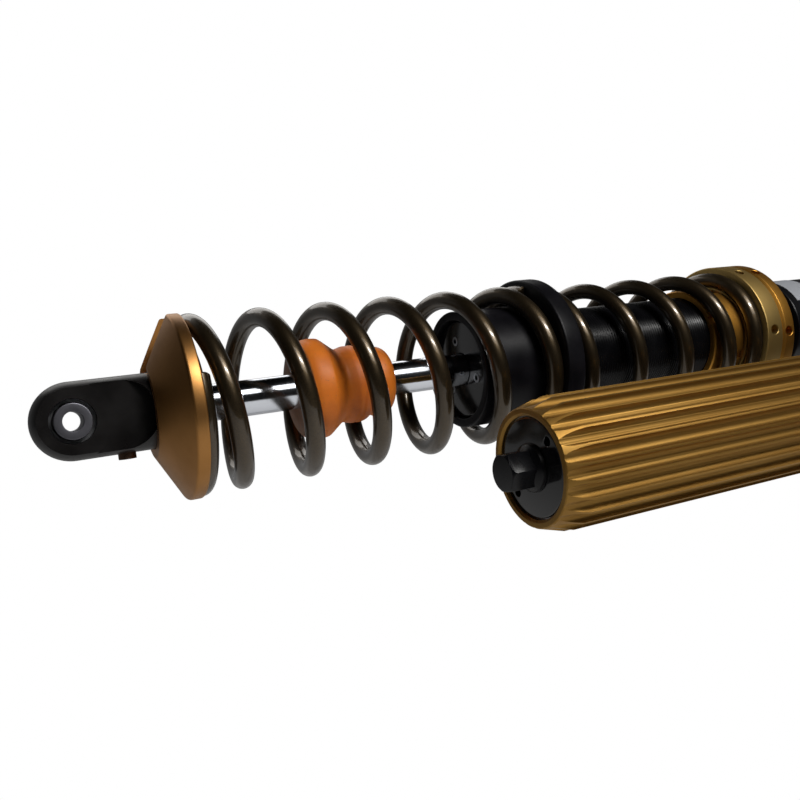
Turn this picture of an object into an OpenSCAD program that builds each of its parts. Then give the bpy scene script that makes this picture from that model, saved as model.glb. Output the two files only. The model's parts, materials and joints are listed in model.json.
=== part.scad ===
// Long-travel coilover: two springs in series on one damper, with a fluted gas
// reservoir carried beside the body on the top bridge.
// Frame: origin at the centre of the upper eye bore. +X runs along the shaft away
// from the wheel end, both eye bores lie along Y, and +Z is up. Stations along the
// shaft are counted in +X from the centre of the lower eye bore.

/* [Lengths] */
// Eye centre to eye centre at full extension
eye_to_eye = 660; // [650:1:680]

/* [Damper] */
// Radius of the chromed shaft
shaft_r = 10.35; // [10:0.05:11]
// Bore radius of the damper body
bore_r = 25.4; // [24:0.1:26]
// Outside radius of the threaded body
body_r = 31.5; // [31:0.05:31.6]
// Outside radius of the upper sleeve
sleeve_r = 36.5; // [35.5:0.1:37]

/* [Springs] */
// Wire diameter of the main spring
main_wire = 11; // [10.5:0.1:11.6]
// Wire diameter of the tender spring
tender_wire = 10.3; // [10:0.1:10.6]
// Mean coil radius of the main spring
main_coil_r = 45.4; // [45:0.1:45.6]
// Mean coil radius of the tender spring
tender_coil_r = 42.9; // [42.8:0.1:43.5]
// Rise of the main spring per turn
main_pitch = 40.45; // [39:0.05:42]
// Rise of the tender spring per turn
tender_pitch = 40.65; // [40:0.05:42]

/* [Reservoir] */
// Distance from the shaft axis to the reservoir axis
reservoir_offset = 115.9; // [112:0.1:120]
// How far the reservoir hangs below the -Y side
reservoir_drop = 28.4; // [20:0.1:40]
// Crest radius of the fluted tube
flute_crest_r = 36.1; // [35:0.1:37]
// Number of flutes
flute_count = 24; // [20:1:24]
// Bore radius of the reservoir
reservoir_bore_r = 27.6; // [27:0.1:28]

/* [Eyes] */
// Radius of the eye bars
eye_r = 20.8; // [20:0.1:22]
// Radius of the mounting bolt hole
bolt_r = 5.1; // [5.05:0.05:5.2]
// Width across each pair of mounting spacers
spacer_width = 26; // [26:1:40]

/* [Hidden] */
$fn = 96;
slack = 0.05;        // radial clearance of a running fit
gap = 0.4;           // clearance between parts that pass each other
bite = 1;            // overshoot of a cutter past a face

// Stations along the shaft
retainer_tip = 39.3;
retainer_rim = 53.1;
retainer_face = 60;
rod_start = 54;
rod_thread_start = 34;
bump_start = 125;
slider_start = 232;
flange_start = 281;
flange_end = 293.6;
head_face = 236;
tube_start = 246;
tube_end = 572;
sleeve_start = 510;
bridge_start = 570;
bridge_end = 610;
passage_station = 590;
rings_start = 423;
washer_start = 456.8;
collar_start = 458.1;
lock_start = 475;
lock_end = 485.5;
reservoir_start = 209.5;
reservoir_end = 580;
rod_shoulder = 282;
rod_end = 318;

// Radii that several parts share
retainer_r = 51.5;
retainer_tip_r = 25.9;
collar_r = 51.5;
ring_r = 36.3;
pilot_r = 37.5;
thread_bore_r = body_r + slack;
slider_bore_r = body_r + gap;
post_r = 6;
needle_r = 2.8;
needle_bore_r = needle_r + gap;
stud_r = 8;
pin_r = 3.05;

// Spherical bearings
race_r = 12.7;
race_half = 5;
ball_r = 11.1;
ball_half = 7.95;
ball_bore_r = 6.4;
lip_r = 11.7;
clip_depth = 1;
clip_width = 1.1;
spacer_r = 9.5;
boss_half = 11.5;
pocket_half = 10.2;
boss_r = 20.3;
knob_station = 25;
knob_throw = 1.2;

// Reservoir
cap_face = 211.4;
flute_cut_r = 4;
flute_floor_r = 31.75;
flute_phase = 3.7;
floating_piston_start = 400;

// ---- Shared shapes ----

// Moves a part drawn in shaft stations into the frame of the upper eye
module at_station(s = 0) { translate([s - eye_to_eye, 0, 0]) children(); }

// Moves a part onto the reservoir's axis
module on_reservoir() {
  translate([0, -reservoir_offset * cos(reservoir_drop), -reservoir_offset * sin(reservoir_drop)])
    children();
}

// Turned solid: each point of the outline is [station, radius]
module turned(outline) {
  at_station() rotate([0, 90, 0])
    rotate_extrude() polygon([for (p = outline) [p[1], p[0]]]);
}

// Plain turned ring with a small chamfer on its outer edges
module ring(start, end, outer, inner, chamfer = 0) {
  turned([[start, inner], [end, inner], [end, outer - chamfer], [end - chamfer, outer],
          [start + chamfer, outer], [start, outer - chamfer]]);
}

// Solid bar with chamfered ends
module bar(start, end, radius, chamfer = 0) {
  turned([[start, 0], [end, 0], [end, radius - chamfer], [end - chamfer, radius],
          [start + chamfer, radius], [start, radius - chamfer]]);
}

// Cylinder along X from station start to station end
module drill(start, end, radius) {
  at_station(start) rotate([0, 90, 0]) cylinder(r = radius, h = end - start);
}

// Children turned about the X axis; 0 degrees points to -Y and 90 degrees to +Z
module clocked(angle) { rotate([-angle, 0, 0]) children(); }

// Evenly spaced copies about the shaft axis
module around(count, phase = 0) {
  for (i = [0 : count - 1]) clocked(phase + i * 360 / count) children();
}

// Cylinder centred on the Y axis between two distances
module across(radius, low, high) {
  translate([0, high, 0]) rotate([90, 0, 0]) cylinder(r = radius, h = high - low);
}

// ---- Coil springs ----

// Straight line that blends into another line: closed coil to open coil
function joined(t, low, low_slope, high_slope, corner, half) =
  t < corner - half ? low + low_slope * (t - corner)
  : t > corner + half ? low + high_slope * (t - corner)
  : low + low_slope * (t - corner)
    + (high_slope - low_slope) * pow(t - corner + half, 2) / (4 * half);

// Station of the wire's centre at turn t, open coils between two closed ends
function wire_station(t, spec) =
  let (mid = (spec[4] + spec[5]) / 2, base = spec[0], pitch = spec[1], close = spec[2], half = spec[3])
  t < mid ? joined(t, base + pitch * spec[4], close, pitch, spec[4], half)
          : base + pitch * spec[5]
            - (joined(-t, 0, close, pitch, -spec[5], half));

// One ring of the wire's skin, cut off flat where the ends are ground
function wire_ring(t, spec, radius, wire, sides, low, high) =
  let (angle = 90 - 360 * t, x = wire_station(t, spec))
  [for (k = [0 : sides - 1])
    let (a = 360 * (k + 0.5) / sides,
         r = radius + wire / 2 * cos(a),
         s = min(max(x + wire / 2 * sin(a), low), high))
    [s - eye_to_eye, r * -cos(angle), r * sin(angle)]];

// Right-handed spring from turn first to turn last, ground flat at low and high
module spring(spec, radius, first, last, wire, low, high) {
  sides = 10;
  per_turn = 22;
  count = ceil((last - first) * per_turn);
  points = [for (i = [0 : count])
            each wire_ring(first + (last - first) * i / count, spec, radius, wire, sides, low, high)];
  skin = [for (i = [0 : count - 1], k = [0 : sides - 1])
          let (n = (k + 1) % sides, a = i * sides, b = a + sides)
          [a + k, a + n, b + n, b + k]];
  start_cap = [[for (k = [0 : sides - 1]) sides - 1 - k]];
  end_cap = [[for (k = [0 : sides - 1]) count * sides + k]];
  polyhedron(points, concat(start_cap, skin, end_cap), convexity = 12);
}

// ---- Eyes and spherical bearings ----

// Outline of the milled side pocket, from the eye's tip to its round end
module pocket_outline(reach) {
  round_r = eye_r - 2.2;
  translate([reach - round_r, 0]) circle(r = round_r);
  translate([-eye_r - bite, -round_r]) square([reach - round_r + eye_r + bite, 2 * round_r]);
}

// Both side pockets, with the raised boss round the bore left standing
module side_pockets(reach) {
  for (side = [0, 1]) mirror([0, side, 0])
    difference() {
      translate([0, -pocket_half, 0]) rotate([90, 0, 0])
        linear_extrude(height = eye_r) pocket_outline(reach);
      across(boss_r, -boss_half, 0);
    }
}

// Bore for the bearing, open to +Y with a clip groove and a lip on -Y
module bearing_bore() {
  across(race_r, -race_half, eye_r);
  across(lip_r, -eye_r, 0);
  across(race_r + clip_depth, race_half + slack, race_half + slack + clip_width + 0.1);
}

module bearing_race() {
  rotate([90, 0, 0]) rotate_extrude() difference() {
    translate([race_r - 4, -race_half]) square([4 - 0.02, 2 * race_half]);
    circle(r = ball_r + slack);
  }
}

module bearing_clip() {
  difference() {
    across(race_r + clip_depth - 0.1, race_half + 0.1, race_half + 0.1 + clip_width);
    across(race_r - 1, race_half - bite, race_half + 2 * bite);
    translate([-3, race_half - bite, 0]) cube([6, 3 * bite, race_r + 3]);
  }
}

module bearing_ball() {
  rotate([90, 0, 0]) rotate_extrude() intersection() {
    circle(r = ball_r);
    translate([ball_bore_r, -ball_half]) square([ball_r, 2 * ball_half]);
  }
}

// Two flanged spacers that bring the ball down to the bolt
module bolt_spacers() {
  half = spacer_width / 2;
  shoulder = ball_half + slack;
  for (side = [0, 1]) mirror([0, side, 0]) rotate([90, 0, 0])
    rotate_extrude() polygon([[bolt_r, 0.2], [ball_bore_r - slack, 0.2],
                              [ball_bore_r - slack, shoulder], [spacer_r, shoulder],
                              [spacer_r, half - 0.8], [spacer_r - 0.8, half], [bolt_r, half]]);
}

// ---- Damper body ----

module body_tube() {
  color("#141416")
    turned([[tube_start, bore_r], [tube_end, bore_r], [tube_end, body_r - 1],
            [tube_end - 1, body_r], [tube_start + 0.8, body_r], [tube_start, body_r - 0.8]]);
}

module bridge_cap() {
  web = 26;
  web_width = 42;
  web_start = 578;
  socket_r = body_r + slack;
  neck = 628;
  color("#17171a") difference() {
    union() {
      turned([[sleeve_start, 0], [sleeve_start, sleeve_r - 1.2], [sleeve_start + 1.2, sleeve_r],
              [bridge_end - 3, sleeve_r], [bridge_end, sleeve_r - 3], [neck, eye_r + 1.5],
              [neck + 3, eye_r], [neck + 4, 0]]);
      drill(neck, eye_to_eye, eye_r);
      sphere(r = eye_r);
      on_reservoir() bar(bridge_start, bridge_end, flute_crest_r + 1.4, 2);
      clocked(-reservoir_drop)
        at_station(web_start) translate([0, -reservoir_offset, -web_width / 2])
          cube([web, reservoir_offset, web_width]);
    }
    drill(sleeve_start - bite, tube_end + 0.2, socket_r);
    drill(tube_end, 592, bore_r - 1.5);
    on_reservoir() drill(bridge_start - bite, reservoir_end + 0.2, flute_floor_r - 1 + slack);
    on_reservoir() drill(reservoir_end, 596, 24);
    on_reservoir() drill(590, bridge_end + bite, 12);
    clocked(-reservoir_drop) at_station(passage_station)
      across(5, -reservoir_offset - flute_crest_r - 3, -15);
    clocked(-reservoir_drop) at_station(passage_station)
      across(8, -reservoir_offset - flute_crest_r - 3, -reservoir_offset - flute_crest_r + 9);
    mirror([1, 0, 0]) side_pockets(31);
    bearing_bore();
  }
}

// Blank label over the top of the sleeve
module label_band() {
  edge = (sleeve_r + 0.35) * sin(30);
  color("#c9cacc") difference() {
    ring(517, 540, sleeve_r + 0.35, sleeve_r + 0.02);
    at_station(516) translate([0, -sleeve_r - bite, -sleeve_r - bite])
      cube([25, 2 * (sleeve_r + bite), sleeve_r + bite + edge]);
  }
}

module passage_plug() {
  deep = -reservoir_offset - flute_crest_r + 9;
  color("#2a2a2c") clocked(-reservoir_drop) at_station(passage_station) difference() {
    across(7.95, deep - 8, deep - 0.1);
    translate([0, deep - 4, 0]) rotate([90, 0, 0]) cylinder(r = 3.5, h = 6, $fn = 6);
  }
}

module seal_head() {
  flange_r = body_r - 0.5;
  color("#0c0c0e") difference() {
    turned([[head_face, shaft_r + 0.6], [head_face, flange_r - 1], [head_face + 1, flange_r],
            [tube_start - 0.1, flange_r], [tube_start - 0.1, bore_r - slack],
            [252, bore_r - slack], [252, bore_r - 2.4], [255.4, bore_r - 2.4],
            [255.4, bore_r - slack], [272, bore_r - slack], [272, shaft_r + 0.6]]);
    drill(head_face + 1, head_face + 6, 14);
    drill(head_face + 8, head_face + 14, 14);
    drill(256, 272 + bite, 12.5);
    around(3, 100) at_station(head_face - bite) translate([0, -18.7, 0]) rotate([0, 90, 0])
      cylinder(r = pin_r, h = 7);
  }
}

// Hollow dowels that a pin wrench turns the head by
module head_pins() {
  color("#8c8f92") around(3, 100) at_station(head_face - 0.3) translate([0, -18.7, 0])
    rotate([0, 90, 0]) difference() {
      cylinder(r = pin_r - slack, h = 5);
      translate([0, 0, -bite]) cylinder(r = pin_r - 1.35, h = 5 + 2 * bite);
    }
}

module rod_wiper() {
  color("#1b1b1b") ring(head_face + 1.1, head_face + 5.9, 13.95, shaft_r + slack, 0.8);
}

module rod_seal() {
  color("#3a3d2c") ring(head_face + 8.1, head_face + 13.9, 13.95, shaft_r + slack);
}

module rod_bushing() {
  color("#8a6a3a") ring(256.1, 271.9, 12.45, shaft_r + slack);
}

module head_oring() {
  color("#101010") ring(252.1, 255.3, bore_r - 0.02, bore_r - 2.35, 0.6);
}

module body_oring() {
  color("#101010") ring(tube_end + 0.25, tube_end + 2.6, bore_r - 1.55, bore_r - 3.8, 0.5);
}

// ---- Reservoir ----

module flute_section() {
  difference() {
    circle(r = flute_crest_r);
    for (i = [0 : flute_count - 1])
      rotate(90 - flute_phase + (i + 0.5) * 360 / flute_count)
        translate([0, flute_floor_r + flute_cut_r]) circle(r = flute_cut_r);
  }
}

module reservoir_tube() {
  shell_end = bridge_start - 0.1;
  color("#b9852f") on_reservoir() difference() {
    union() {
      intersection() {
        at_station(reservoir_start) rotate([0, 90, 0])
          linear_extrude(height = shell_end - reservoir_start) flute_section();
        turned([[reservoir_start, 0], [reservoir_start, flute_floor_r - 0.15],
                [226, flute_crest_r + 0.3], [shell_end, flute_crest_r + 0.3], [shell_end, 0]]);
      }
      drill(shell_end - 2, reservoir_end, flute_floor_r - 1);
    }
    drill(reservoir_start - bite, reservoir_end + bite, reservoir_bore_r);
    drill(212.9, 214.7, reservoir_bore_r + 1);
    turned([[reservoir_start - 0.1, 0], [reservoir_start - 0.1, reservoir_bore_r + 1.1],
            [reservoir_start + 1, reservoir_bore_r], [reservoir_start + 1, 0]]);
  }
}

module reservoir_end_cap() {
  shoulder = 214.8;
  color("#0f0f10") on_reservoir() difference() {
    turned([[cap_face, 0], [cap_face, 26.2], [cap_face + 0.7, 26.9], [shoulder, 26.9],
            [shoulder, reservoir_bore_r - slack], [219, reservoir_bore_r - slack],
            [219, reservoir_bore_r - 2.6], [222.4, reservoir_bore_r - 2.6],
            [222.4, reservoir_bore_r - slack], [229, reservoir_bore_r - slack], [229, 0]]);
    drill(cap_face - bite, 229 + bite, 4.2);
    for (side = [0, 180]) clocked(41.3 + side) at_station(cap_face - bite)
      translate([0, -21.4, 0]) rotate([0, 90, 0]) cylinder(r = 2.5, h = 6);
  }
}

module end_cap_clip() {
  color("#55585c") on_reservoir() difference() {
    ring(213, 214.6, reservoir_bore_r + 0.9, 27);
    clocked(-60) at_station(212) translate([0, -30, -3]) cube([4, 12, 6]);
  }
}

module end_cap_oring() {
  color("#101010") on_reservoir()
    ring(219.1, 222.3, reservoir_bore_r - 0.02, reservoir_bore_r - 2.55, 0.6);
}

module gas_valve() {
  color("#b08d3c") on_reservoir() difference() {
    union() {
      drill(cap_face + 0.2, 235, 4.15);
      drill(199, cap_face + 0.2, 3.9);
    }
    drill(198, 209, 1.4);
  }
}

// Hexagonal cover screwed over the filling valve
module valve_cover() {
  across_flats = 19;
  outer = 193;
  color("#1d1d1f") on_reservoir() difference() {
    union() {
      intersection() {
        at_station(outer) rotate([0, 90, 0]) rotate([0, 0, 3])
          cylinder(r = across_flats / sqrt(3), h = cap_face - outer - 1, $fn = 6);
        turned([[outer, 0], [outer, 9.3], [outer + 1.2, 10.7], [cap_face, 13], [cap_face, 0]]);
      }
      turned([[cap_face - 5, 0], [cap_face - 5, 9.4], [cap_face - 0.1, 13.2],
              [cap_face - 0.1, 0]]);
    }
    drill(197, cap_face + bite, 4.3);
  }
}

module reservoir_oring() {
  color("#101010") on_reservoir() ring(reservoir_end + 0.25, reservoir_end + 2.6, 23.95, 21.5, 0.5);
}

module floating_piston() {
  s = floating_piston_start;
  skirt_r = reservoir_bore_r - slack;
  color("#9a9ca0") on_reservoir() difference() {
    turned([[s, 0], [s, skirt_r - 1], [s + 1, skirt_r], [s + 12, skirt_r],
            [s + 12, skirt_r - 2.6], [s + 15.4, skirt_r - 2.6], [s + 15.4, skirt_r],
            [s + 28, skirt_r], [s + 28, 0]]);
    drill(s - bite, s + 18, 20);
  }
}

module floating_piston_seal() {
  s = floating_piston_start + 12;
  color("#101010") on_reservoir()
    ring(s + 0.1, s + 3.3, reservoir_bore_r - 0.03, reservoir_bore_r - 2.6, 0.6);
}

// ---- Compression adjuster ----

module compression_valve() {
  color("#8e9196") on_reservoir() difference() {
    union() {
      bar(583, 600, 11.9, 1);
      drill(600, 615, 5);
      bar(584, 588, 20, 0.5);
    }
    around(6) at_station(583 - bite) translate([0, -15.5, 0]) rotate([0, 90, 0])
      cylinder(r = 1.8, h = 8);
    drill(583 - bite, 596, 6);
  }
}

// Hexagonal high-speed adjuster
module compression_knob() {
  color("#b9852f") on_reservoir() difference() {
    union() {
      at_station(611) rotate([0, 90, 0]) cylinder(r = 10.4, h = 8, $fn = 6);
      drill(601, 611, 11.6);
    }
    drill(600, 620, 5.4);
    drill(613, 620, 7.1);
  }
}

// Slotted low-speed adjuster in the middle of the hexagon
module bleed_knob() {
  color("#26262a") on_reservoir() difference() {
    bar(615.4, 620.6, 6.7, 0.5);
    at_station(619) translate([0, -0.8, -8]) cube([3, 1.6, 16]);
  }
}

// ---- Shaft assembly ----

module piston_rod() {
  color("#d8dade") difference() {
    turned([[rod_thread_start, 0], [rod_thread_start, stud_r - 0.8],
            [rod_thread_start + 0.8, stud_r - slack], [rod_start, stud_r - slack],
            [rod_start, shaft_r], [rod_shoulder, shaft_r], [rod_shoulder, post_r],
            [rod_end - 0.8, post_r], [rod_end, post_r - 0.8], [rod_end, 0]]);
    drill(rod_thread_start - bite, rod_end + bite, needle_bore_r);
    at_station(277) translate([0, 0, -shaft_r - bite])
      cylinder(r = 1.8, h = 2 * (shaft_r + bite));
  }
}

module lower_eye() {
  color("#121214") at_station() difference() {
    union() {
      rotate([0, 90, 0]) cylinder(r = eye_r, h = rod_start - 1);
      sphere(r = eye_r);
    }
    side_pockets(42);
    bearing_bore();
    translate([rod_thread_start - 0.2, 0, 0]) rotate([0, 90, 0])
      cylinder(r = stud_r, h = rod_start);
    translate([knob_station, 0, 0]) rotate([0, 90, 0])
      cylinder(r = needle_bore_r, h = rod_start - knob_station);
    translate([knob_station, 0, -eye_r - bite]) cylinder(r = 5, h = eye_r + bite + 3);
  }
}

// Push-and-turn stub with an eccentric pin that moves the metering rod
module rebound_knob() {
  color("#4a3828") at_station(knob_station) {
    translate([0, 0, -eye_r - 3]) difference() {
      cylinder(r = 4.65, h = 15.4);
      translate([-5, -0.7, -bite]) cube([10, 1.4, 2.2]);
    }
    translate([-knob_throw, 0, -9]) cylinder(r = 1.5, h = 11);
  }
}

module metering_rod() {
  color("#a9abb0") turned([[knob_station + 1.5, 0], [knob_station + 1.5, needle_r],
                           [305, needle_r], [314, 1.2], [314, 0]]);
}

// Cupped spring seat with a slot so that it slips over the shaft
module spring_retainer() {
  slot = 22;
  cup_r = eye_r + 0.3;
  color("#8f6326") difference() {
    turned([[retainer_tip, cup_r], [retainer_tip, retainer_tip_r - 0.9], [retainer_tip + 0.6, retainer_tip_r],
            [retainer_rim, retainer_r - 0.1], [retainer_rim + 0.8, retainer_r],
            [retainer_face - 0.8, retainer_r], [retainer_face, retainer_r - 0.8],
            [retainer_face, pilot_r], [retainer_face + 4, pilot_r - 0.8],
            [retainer_face + 4, pilot_r - 4], [retainer_face, pilot_r - 5],
            [retainer_face, shaft_r + 0.35], [rod_start - 0.9, shaft_r + 0.35],
            [rod_start - 0.9, cup_r]]);
    at_station(retainer_tip - bite) translate([0, -slot / 2, 0])
      cube([retainer_face - retainer_tip + 6, slot, retainer_r + bite]);
  }
}

module bump_stop() {
  hole = shaft_r + 0.3;
  s = bump_start;
  color("#c8611c")
    turned([[s, hole], [s, 26], [s + 1.2, 27.8], [s + 4, 29.2], [s + 9, 29.8], [s + 12, 29.5],
            [s + 14, 28.6], [s + 21.5, 23], [s + 24, 22], [s + 27, 22.6], [s + 30, 23.3],
            [s + 34, 23.4], [s + 37.5, 22.8], [s + 40, 21.2], [s + 42.3, 19.8], [s + 44, 20.5],
            [s + 47, 21.4], [s + 51, 21], [s + 53.5, 19.8], [s + 55, 18.2], [s + 55, hole]]);
}

module topout_bumper() {
  color("#1c2a50") ring(273, 276.4, 18, shaft_r + slack, 0.8);
}

module rebound_shims() {
  color("#7f8489") for (i = [0 : 3])
    ring(rod_shoulder + 0.05 + i * 0.8, rod_shoulder + 0.85 + i * 0.8, 12 + 3 * i, post_r + slack);
}

module piston() {
  face = 285.4;
  back = 301;
  color("#a4772d") difference() {
    turned([[face, post_r + slack], [face, 24.1], [face + 0.8, 24.9], [face + 3.5, 24.9],
            [face + 3.5, 23.6], [back - 3.5, 23.6], [back - 3.5, 24.9], [back - 0.8, 24.9],
            [back, 24.1], [back, post_r + slack]]);
    around(6) at_station(face - bite) translate([0, -16.5, 0]) rotate([0, 90, 0])
      cylinder(r = 2.6, h = back - face + 2 * bite);
  }
}

module piston_band() {
  color("#3d3022") ring(289.1, 297.3, bore_r - slack, 23.65);
}

module compression_shims() {
  color("#7f8489") for (i = [0 : 4])
    ring(301.05 + i * 0.8, 301.85 + i * 0.8, 22 - 2.5 * i, post_r + slack);
}

module piston_nut() {
  color("#6d7074") difference() {
    at_station(305.2) rotate([0, 90, 0]) cylinder(r = 10.4, h = 9, $fn = 6);
    drill(304, 316, post_r + slack);
  }
}

// ---- Springs and their seats ----

main_spec = [64.1, main_pitch, 3, 0.2, -0.0587, 5.31];
tender_spec = [295.84, tender_pitch, 3, 0.2, 0.106, 3.89];

module main_spring() {
  color("#2e271d") spring(main_spec, main_coil_r, -0.8, 6.05, main_wire, retainer_face + 0.02,
                          flange_start - 0.02);
}

module tender_spring() {
  color("#2e271d") spring(tender_spec, tender_coil_r, -0.66, 4.549, tender_wire, flange_end + 0.02,
                          washer_start - 0.02);
}

// Sleeve and flange that float between the two springs
module spring_slider() {
  flange_r = 54;
  color("#0d0d0d")
    turned([[slider_start, slider_bore_r + 0.8], [slider_start + 0.8, slider_bore_r],
            [flange_end + 4, slider_bore_r], [flange_end + 4, pilot_r - 0.8],
            [flange_end, pilot_r], [flange_end, flange_r - 1.5], [flange_end - 1.5, flange_r],
            [flange_start + 1.5, flange_r], [flange_start, flange_r - 1.5],
            [flange_start, pilot_r], [slider_start + 1, pilot_r], [slider_start, pilot_r - 1]]);
}

// Slots for a hook spanner in the rim of a ring
module spanner_slots(start, depth, phase) {
  around(4, phase) at_station(start - bite) translate([0, -ring_r - bite, -3])
    cube([depth + bite, 3.4, 6]);
}

module crossover_stop_ring() {
  color("#b48236") difference() {
    ring(rings_start, rings_start + 14, ring_r, thread_bore_r, 0.6);
    spanner_slots(rings_start, 9, 19);
  }
}

module crossover_jam_ring() {
  color("#b48236") difference() {
    ring(rings_start + 14.2, rings_start + 28.6, ring_r, thread_bore_r, 0.6);
    spanner_slots(rings_start + 21, 9, 64);
  }
}

module thrust_washer() {
  color("#191919") ring(washer_start, collar_start - 0.1, 46.8, pilot_r + 0.5);
}

// Radial holes for a pin spanner
module spanner_holes(station, phase) {
  around(6, phase) at_station(station) across(3.5, -collar_r - bite, -collar_r + 6);
}

module preload_collar() {
  end = lock_start - 0.2;
  color("#b48a3e") difference() {
    turned([[collar_start - 5.6, thread_bore_r], [collar_start - 5.6, pilot_r - 1.2],
            [collar_start, pilot_r - 0.2], [collar_start, collar_r - 1], [collar_start + 1, collar_r],
            [end - 2, collar_r], [end - 1, collar_r - 2.1], [end, collar_r - 2.1],
            [end, thread_bore_r]]);
    spanner_holes(465.4, -1.2);
  }
}

module lock_ring() {
  color("#b9802c") difference() {
    turned([[lock_start, thread_bore_r], [lock_start, collar_r - 1.6], [lock_start + 1.2, collar_r],
            [lock_end - 1, collar_r], [lock_end, collar_r - 1], [lock_end, thread_bore_r]]);
    spanner_holes(479.9, -3.6);
  }
}

// ---- Bearings at both ends ----

module upper_race() { color("#5a5d61") bearing_race(); }
module upper_clip() { color("#8b8e92") bearing_clip(); }
module upper_ball() { color("#c4c7cb") bearing_ball(); }
module upper_spacers() { color("#4c4c54") bolt_spacers(); }
module lower_race() { color("#5a5d61") at_station() bearing_race(); }
module lower_clip() { color("#8b8e92") at_station() bearing_clip(); }
module lower_ball() { color("#c4c7cb") at_station() bearing_ball(); }
module lower_spacers() { color("#4c4c54") at_station() bolt_spacers(); }

body_tube();
bridge_cap();
label_band();
seal_head();
head_pins();
rod_bushing();
rod_seal();
rod_wiper();
head_oring();
body_oring();
reservoir_tube();
reservoir_end_cap();
end_cap_oring();
end_cap_clip();
gas_valve();
valve_cover();
compression_valve();
compression_knob();
bleed_knob();
reservoir_oring();
passage_plug();
floating_piston();
floating_piston_seal();
upper_race();
upper_clip();
upper_ball();
upper_spacers();
piston_rod();
lower_eye();
lower_race();
lower_clip();
lower_ball();
lower_spacers();
rebound_knob();
metering_rod();
spring_retainer();
bump_stop();
topout_bumper();
rebound_shims();
piston();
piston_band();
compression_shims();
piston_nut();
spring_slider();
main_spring();
tender_spring();
crossover_stop_ring();
crossover_jam_ring();
thrust_washer();
preload_collar();
lock_ring();
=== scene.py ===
"""Looks of the coilover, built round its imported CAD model.

Stations are distances in millimetres along the shaft, counted from the centre of the
lower eye. Angles round the shaft are 0 towards -Y and 90 degrees towards +Z.
"""

import json
import math

import bmesh
import bpy
from mathutils import Matrix, Vector


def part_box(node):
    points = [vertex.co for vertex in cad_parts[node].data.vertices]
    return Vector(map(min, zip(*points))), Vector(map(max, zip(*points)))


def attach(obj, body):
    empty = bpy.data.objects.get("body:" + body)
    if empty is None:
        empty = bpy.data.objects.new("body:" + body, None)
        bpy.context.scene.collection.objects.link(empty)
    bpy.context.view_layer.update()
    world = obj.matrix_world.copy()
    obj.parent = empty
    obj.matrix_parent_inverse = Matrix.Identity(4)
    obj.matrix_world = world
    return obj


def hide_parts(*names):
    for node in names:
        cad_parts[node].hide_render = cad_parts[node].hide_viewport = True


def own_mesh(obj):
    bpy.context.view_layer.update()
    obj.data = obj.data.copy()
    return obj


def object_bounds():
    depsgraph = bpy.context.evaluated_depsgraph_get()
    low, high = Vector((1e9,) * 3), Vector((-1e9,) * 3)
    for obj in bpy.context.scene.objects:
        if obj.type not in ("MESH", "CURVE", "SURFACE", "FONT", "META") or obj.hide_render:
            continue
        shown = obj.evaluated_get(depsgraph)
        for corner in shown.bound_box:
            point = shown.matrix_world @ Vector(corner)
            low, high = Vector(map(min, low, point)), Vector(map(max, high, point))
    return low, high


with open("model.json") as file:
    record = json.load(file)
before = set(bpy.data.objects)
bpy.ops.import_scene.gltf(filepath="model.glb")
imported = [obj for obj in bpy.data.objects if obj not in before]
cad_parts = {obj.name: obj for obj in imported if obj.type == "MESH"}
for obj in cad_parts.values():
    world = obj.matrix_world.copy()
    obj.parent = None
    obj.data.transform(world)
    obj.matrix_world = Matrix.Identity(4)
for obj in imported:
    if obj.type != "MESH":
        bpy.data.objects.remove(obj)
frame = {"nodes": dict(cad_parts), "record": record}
cad_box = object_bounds()

MM = 0.001
MOUNTS = {m["name"]: m for m in frame["record"]["mounts"]}
LOWER_EYE = MOUNTS["lower_eye_bore"]["pos_m"][0]
UPPER_EYE = MOUNTS["upper_eye_bore"]["pos_m"][0]
SEGMENTS = 192


def station(mm):
    """X of a station, in metres."""
    return LOWER_EYE + mm * MM


def extent(node):
    """Start, end and outer radius of a round CAD node."""
    low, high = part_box(node)
    return low.x, high.x, (high.y - low.y) / 2


def axis_of(node):
    """(y, z) of the line along X through the middle of a CAD node."""
    low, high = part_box(node)
    return (low.y + high.y) / 2, (low.z + high.z) / 2


SHAFT_AXIS = (0.0, 0.0)
RESERVOIR_AXIS = axis_of("reservoir_end_cap")


# ---- Mesh building ----


def around(angle, radius, centre=SHAFT_AXIS):
    """(y, z) at an angle in degrees round a line along X."""
    a = math.radians(angle)
    return centre[0] - radius * math.cos(a), centre[1] + radius * math.sin(a)


def mesh_object(name, points, faces):
    """New object from points and faces, normals outward."""
    mesh = bpy.data.meshes.new(name)
    mesh.from_pydata(points, [], faces)
    shell = bmesh.new()
    shell.from_mesh(mesh)
    bmesh.ops.remove_doubles(shell, verts=shell.verts, dist=1e-7)
    bmesh.ops.dissolve_degenerate(shell, edges=shell.edges, dist=1e-7)
    bmesh.ops.recalc_face_normals(shell, faces=shell.faces)
    shell.to_mesh(mesh)
    shell.free()
    piece = bpy.data.objects.new(name, mesh)
    bpy.context.scene.collection.objects.link(piece)
    return piece


def smooth(piece, angle=28):
    """Smooth shading that breaks at edges sharper than angle."""
    mesh = piece.data
    mesh.polygons.foreach_set("use_smooth", [True] * len(mesh.polygons))
    mesh.set_sharp_from_angle(angle=math.radians(angle))
    mesh.update()
    return piece


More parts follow.
